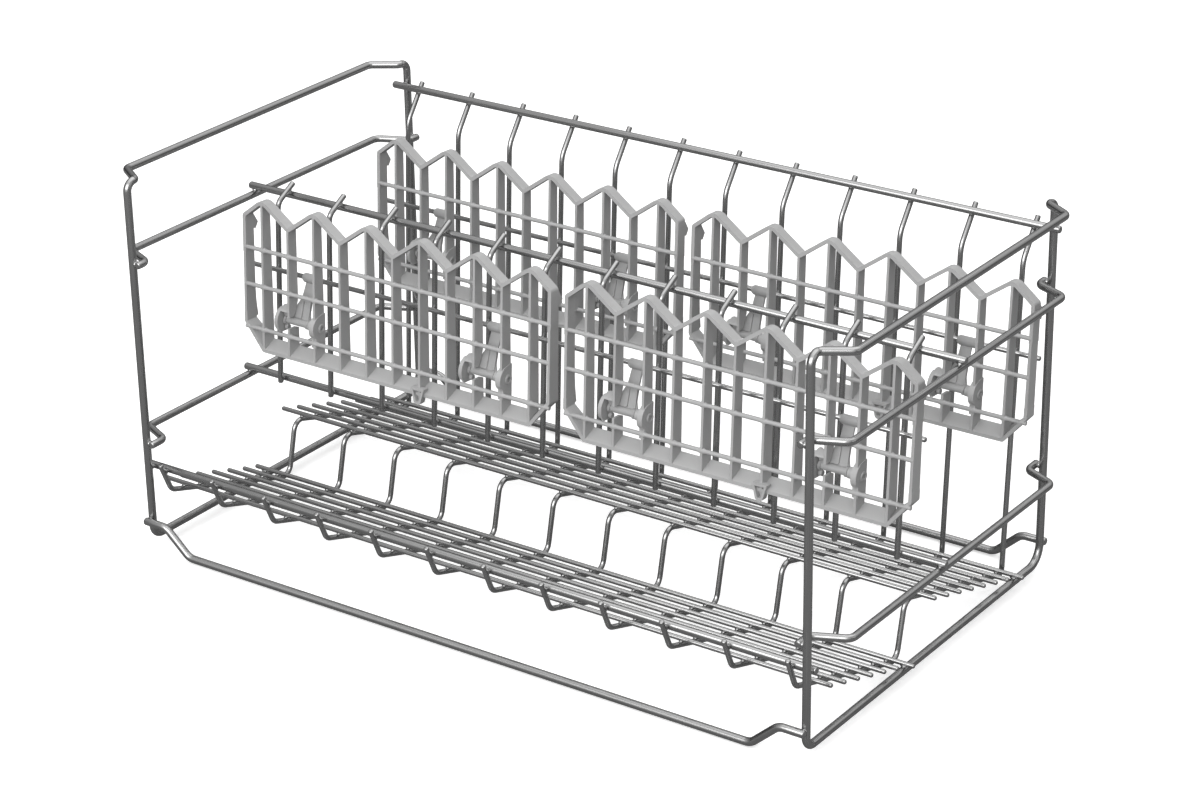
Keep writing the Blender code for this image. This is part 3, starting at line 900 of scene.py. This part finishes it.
def catch(shape, x):
    """A small pocket that hangs from the front of the sill."""
    top, low = SILL_Z - PIN_Z + 5.4, SILL_Z - PIN_Z - 4.8
    outer = [
        (x - 4.9, top),
        (x + 4.9, top),
        (x + 2.4, low + 1.0),
        (x + 1.2, low),
        (x - 1.2, low),
        (x - 2.4, low + 1.0),
    ]
    inner = [(x - 3.2, top - 1.5), (x + 3.2, top - 1.5), (x + 1.0, low + 1.8), (x - 1.0, low + 1.8)]
    shape.prism([outer, inner], FRONT - 2.0, FRONT + 1.6, "y")
    shape.prism([outer], FRONT + 1.2, FRONT + 2.4, "y")


# ---------------------------------------------------------------- hangers


def open_ring(outer, bore):
    """The outline of a ring about the hinge rail that is open at the upper back."""
    return [*arc((0, 0), outer, 88, 362, 26), *arc((0, 0), bore, 362, 88, 22)]


def hanger_shape():
    """A hanger: x from the straddled rib, y and z from the axis of the hinge rail."""
    shape = Shape()
    outer, bore = 3.05, HINGE_WIRE / 2 + 0.25
    shape.prism([open_ring(outer, bore)], 1.6, 13.6, "x")
    for x, part in ((0.2, 0.35), (0.9, 0.7)):
        step = bore + (outer - bore) * part
        shape.prism([open_ring(step, bore)], x, 3.0, "x")

    # The web and what is on it are made upright, then turned about the hinge rail
    first = len(shape.points)
    length = math.hypot(LINK_Y, LINK_Z)
    left = flat_path([(2.6, -2.2), (2.2, -12.0), (-1.4, -19.8), (-5.8, -24.6)], [0, 12, 16, 0], 6)
    right = flat_path([(12.2, -25.0), (10.6, -20.5), (9.9, -12.0), (9.6, -2.2)], [0, 6, 30, 0], 5)
    web = [*left, (-5.8, -length), (12.2, -length), *right]
    shape.prism([web], -0.2, 0.95, "y")
    pad = flat_path([(4.8, -14.2), (5.6, -25.2), (-3.4, -25.2), (-0.4, -20.6), (4.8, -14.2)], 0.9, 3)[:-1]
    shape.prism([pad], -1.0, 0.2, "y")
    edge = [(9.9, -13.0), (11.2, -24.8), (9.2, -24.8), (8.4, -13.0)]
    shape.prism([edge], -1.0, 0.2, "y")
    tilt = Matrix.Rotation(math.atan2(LINK_Y, -LINK_Z), 3, "X")
    for index in range(first, len(shape.points)):
        shape.points[index] = tilt @ shape.points[index]
        shape.grain[index] = shape.points[index]

    barrel, left_flange, right_flange = (-6.1, 12.4, 2.35), (-6.1, -4.4, 3.1), (10.6, 12.4, 3.0)
    pin = (-7.9, 14.6, 1.2)
    for low, high, radius in (barrel, left_flange, right_flange, pin):
        shape.prism([circle((LINK_Y, LINK_Z), radius)], low, high, "x")
    for low, high, centre, radius in (
        (-5.8, -2.6, (LINK_Y - 0.3, LINK_Z + 4.6), 1.8),
        (-5.8, -3.6, (LINK_Y - 0.6, LINK_Z - 4.5), 1.7),
    ):
        shape.prism([circle(centre, radius, 16)], low, high, "x")
        stem = (min(centre[1], LINK_Z), max(centre[1], LINK_Z))
        shape.block((low + 0.4, centre[0] - 1.0, stem[0]), (high - 0.4, centre[0] + 1.0, stem[1]))
    return shape


def build_plastics():
    """Four holders and eight hangers, each a copy of one moulding."""
    holder = finished(holder_shape(), "holder_moulding", HOLDER_EDGE)
    holder.transform(Matrix.Rotation(math.radians(-LEAN), 4, "X"))
    hanger = finished(hanger_shape(), "hanger_moulding", HANGER_EDGE)
    for row, rail_node in (("front", "centre_hinge_rail"), ("back", "back_hinge_rail")):
        rail = middle_of(rail_node)
        for word in ("left", "right"):
            node = f"holder_{row}_{word}"
            middle = middle_of(node).x
            plate = holder.copy()
            plate.transform(Matrix.Translation(Vector((middle, rail.y + LINK_Y, PIN_Z)) * MM))
            add_piece(f"{node}_moulding", plate, "holder_plastic", node, node)
            for letter, rib in zip("ab", STRADDLED_RIBS):
                arm_node = f"hanger_{row}_{word}_{letter}"
                arm = hanger.copy()
                arm.transform(Matrix.Translation(Vector((middle + rib, rail.y, rail.z)) * MM))
                add_piece(f"{arm_node}_moulding", arm, "hanger_plastic", arm_node, arm_node)


# ---------------------------------------------------------------- stage, light and camera


def floor():
    """A floor that looks nearly white to the camera and throws little light on the basket."""
    mesh = bpy.data.meshes.new("floor")
    half = FLOOR_HALF
    corners = [(-half, -half, 0), (half, -half, 0), (half, half, 0), (-half, half, 0)]
    mesh.from_pydata(corners, [], [(0, 1, 2, 3)])
    obj = bpy.data.objects.new("floor", mesh)
    obj.location.z = -FLOOR_DROP
    bpy.context.scene.collection.objects.link(obj)
    made, tree, shader = new_material("floor_paper")
    seen = tree.nodes.new("ShaderNodeLightPath").outputs["Is Camera Ray"]
    tree.links.new(grey_between(tree, seen, 0.22, 0.97), shader.inputs["Base Color"])
    glow = remap(tree, seen, 0.0, 0.4, 0.0, 1.0)
    shader.inputs["Emission Color"].default_value = (1, 1, 1, 1)
    tree.links.new(glow, shader.inputs["Emission Strength"])
    shader.inputs["Roughness"].default_value = 0.9
    shader.inputs["Specular IOR Level"].default_value = 0.1
    mesh.materials.append(made)


def light(name, place, size, power):
    """A rectangular lamp, hidden from the camera, that faces the basket."""
    lamp = bpy.data.lights.new(name, "AREA")
    lamp.shape = "RECTANGLE"
    lamp.size, lamp.size_y = size
    lamp.energy = power
    obj = bpy.data.objects.new(name, lamp)
    obj.location = place
    obj.rotation_euler = (Vector(LIGHT_TARGET) - Vector(place)).to_track_quat("-Z", "Y").to_euler()
    obj.visible_camera = False
    bpy.context.scene.collection.objects.link(obj)


def world():
    """White to the camera; to the basket a sky that brightens upwards, with two broad lobes."""
    made = bpy.data.worlds.new("studio")
    bpy.context.scene.world = made
    made.use_nodes = True
    tree = made.node_tree
    back = tree.nodes["Background"]
    path = tree.nodes.new("ShaderNodeLightPath")
    place = tree.nodes.new("ShaderNodeTexCoord")
    split = tree.nodes.new("ShaderNodeSeparateXYZ")
    tree.links.new(place.outputs["Generated"], split.inputs["Vector"])
    level = remap(tree, split.outputs["Z"], 0.0, 0.75, 0.1, 0.9)
    for toward, strength, start in WORLD_LOBES:
        lobe = tree.nodes.new("ShaderNodeVectorMath")
        lobe.operation = "DOT_PRODUCT"
        lobe.inputs[1].default_value = Vector(toward).normalized()
        tree.links.new(place.outputs["Generated"], lobe.inputs[0])
        level = total(tree, level, remap(tree, lobe.outputs["Value"], 0.0, strength, start, 1.0))
    mix = tree.nodes.new("ShaderNodeMix")
    tree.links.new(path.outputs["Is Camera Ray"], mix.inputs["Factor"])
    tree.links.new(level, mix.inputs["A"])
    mix.inputs["B"].default_value = 1.0
    tree.links.new(mix.outputs["Result"], back.inputs["Strength"])
    back.inputs["Color"].default_value = (1, 1, 1, 1)


def camera():
    """The main camera, from the right front and above, with a slight roll."""
    place, target = Vector(CAMERA_PLACE), Vector(CAMERA_TARGET)
    away = (place - target).normalized()
    right = Vector((0, 0, 1)).cross(away).normalized()
    up = away.cross(right)
    right, up = (
        right * math.cos(CAMERA_ROLL) + up * math.sin(CAMERA_ROLL),
        -right * math.sin(CAMERA_ROLL) + up * math.cos(CAMERA_ROLL),
    )
    data = bpy.data.cameras.new("camera")
    data.sensor_width = 36
    data.lens = CAMERA_LENS
    data.clip_end = 100
    obj = bpy.data.objects.new("camera", data)
    matrix = Matrix((right, up, away)).transposed().to_4x4()
    matrix.translation = place
    obj.matrix_world = matrix
    bpy.context.scene.collection.objects.link(obj)
    bpy.context.scene.camera = obj


build_wires()
build_plastics()
floor()
world()
for name, place, size, power in LIGHTS:
    light(name, place, size, power)
camera()
scene = bpy.context.scene
scene.view_settings.view_transform = "Standard"
scene.view_settings.look = "None"
